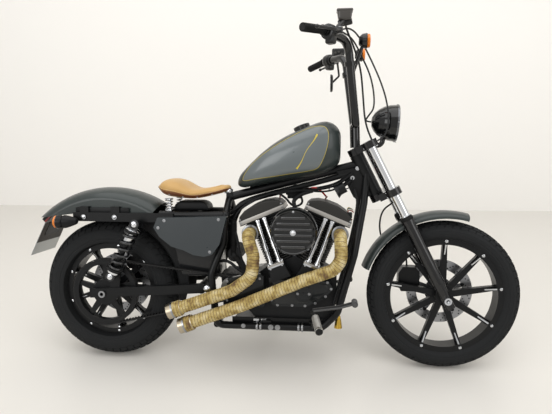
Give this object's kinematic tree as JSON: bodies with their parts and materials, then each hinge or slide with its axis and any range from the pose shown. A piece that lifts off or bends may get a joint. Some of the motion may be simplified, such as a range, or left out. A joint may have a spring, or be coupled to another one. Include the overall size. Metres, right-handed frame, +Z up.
{
  "type": "chopper motorcycle",
  "caption": "Custom cruiser motorcycle leaning on its side stand, with a finned vee engine, tall bars, cast wheels, a sprung solo saddle and wrapped exhausts.",
  "frame": {"origin": "middle of the bounding box on the ground plane", "axes": "+X forward, +Y to the rider's left, +Z up; the machine leans to its left on its stand"},
  "size_m": [2.2026, 0.9808, 1.5218],
  "materials": {
    "amber_lens": "glossy",
    "belt_rubber": "matte",
    "black_paint": "satin",
    "black_plastic": "matte",
    "brass": "aged",
    "chrome": "polished",
    "grip_rubber": "matte",
    "heat_wrap": "woven",
    "lead_red": "satin",
    "plate_aluminium": "satin",
    "satin_paint": "satin",
    "steel": "brushed",
    "tan_leather": "satin",
    "tyre_rubber": "matte"
  },
  "bodies": {
    "chassis": {"rear_axle": "steel", "rear_mudguard": "satin_paint", "swingarm": "black_paint", "mudguard_struts": "black_paint", "rear_signal_lenses": "amber_lens", "dampers": "chrome", "damper_springs": "steel", "cylinders": "black_paint", "cylinder_heads": "black_paint", "rocker_boxes": "black_paint", "crankcase": "black_paint", "engine_covers": "black_paint", "pushrod_tubes": "chrome", "air_cleaner": "black_paint", "intake": "black_paint", "exhaust_pipes": "heat_wrap", "exhaust_tips": "chrome", "fuel_tank": "satin_paint", "fuel_cap": "chrome", "saddle": "tan_leather", "saddle_springs": "chrome", "side_covers": "satin_paint", "number_plate": "plate_aluminium", "drive_belt": "belt_rubber", "drive_pulley": "steel", "frame": "black_paint", "rear_caliper": "black_paint", "foot_controls": "black_paint", "tail_brackets": "black_paint", "horn": "black_paint", "electrical_boxes": "black_paint", "bell": "brass", "ignition_leads": "lead_red"},
    "fork": {"front_axle": "chrome", "fork_tubes": "chrome", "fork_legs": "black_paint", "fork_clamps": "black_paint", "handlebar": "black_paint", "grips": "grip_rubber", "risers": "black_paint", "front_mudguard": "satin_paint", "headlamp_rim": "chrome", "headlamp": "black_paint", "front_signals": "black_paint", "front_signal_lenses": "amber_lens", "front_caliper": "black_paint", "hand_controls": "black_paint", "cables": "black_plastic"},
    "front_wheel": {"front_rim": "black_paint", "front_tyre": "tyre_rubber", "front_brake_disc": "steel"},
    "rear_wheel": {"rear_rim": "black_paint", "rear_tyre": "tyre_rubber", "rear_brake_disc": "steel", "rear_pulley": "steel"},
    "side_stand": {"side_stand": "black_paint"}
  },
  "joints": [
    {"name": "steering", "type": "hinge", "parent": "chassis", "child": "fork", "pos_m": [0.42785, -0.03931, 0.84452], "axis": [-0.454, 0.1853, 0.8715], "range_deg": [-38, 38]},
    {"name": "front_wheel_spin", "type": "hinge", "parent": "fork", "child": "front_wheel", "pos_m": [0.77036, -0.14976, 0.32486], "axis": [0, 0.9781, -0.2079], "continuous": true},
    {"name": "rear_wheel_spin", "type": "hinge", "parent": "chassis", "child": "rear_wheel", "pos_m": [-0.74464, -0.15131, 0.31758], "axis": [0, 0.9781, -0.2079], "continuous": true},
    {"name": "side_stand_swing", "type": "hinge", "parent": "chassis", "child": "side_stand", "pos_m": [-0.10464, -0.03709, 0.17197], "axis": [-0.0812, 0.7927, 0.6042], "range_deg": [0, 102.62]}
  ]
}
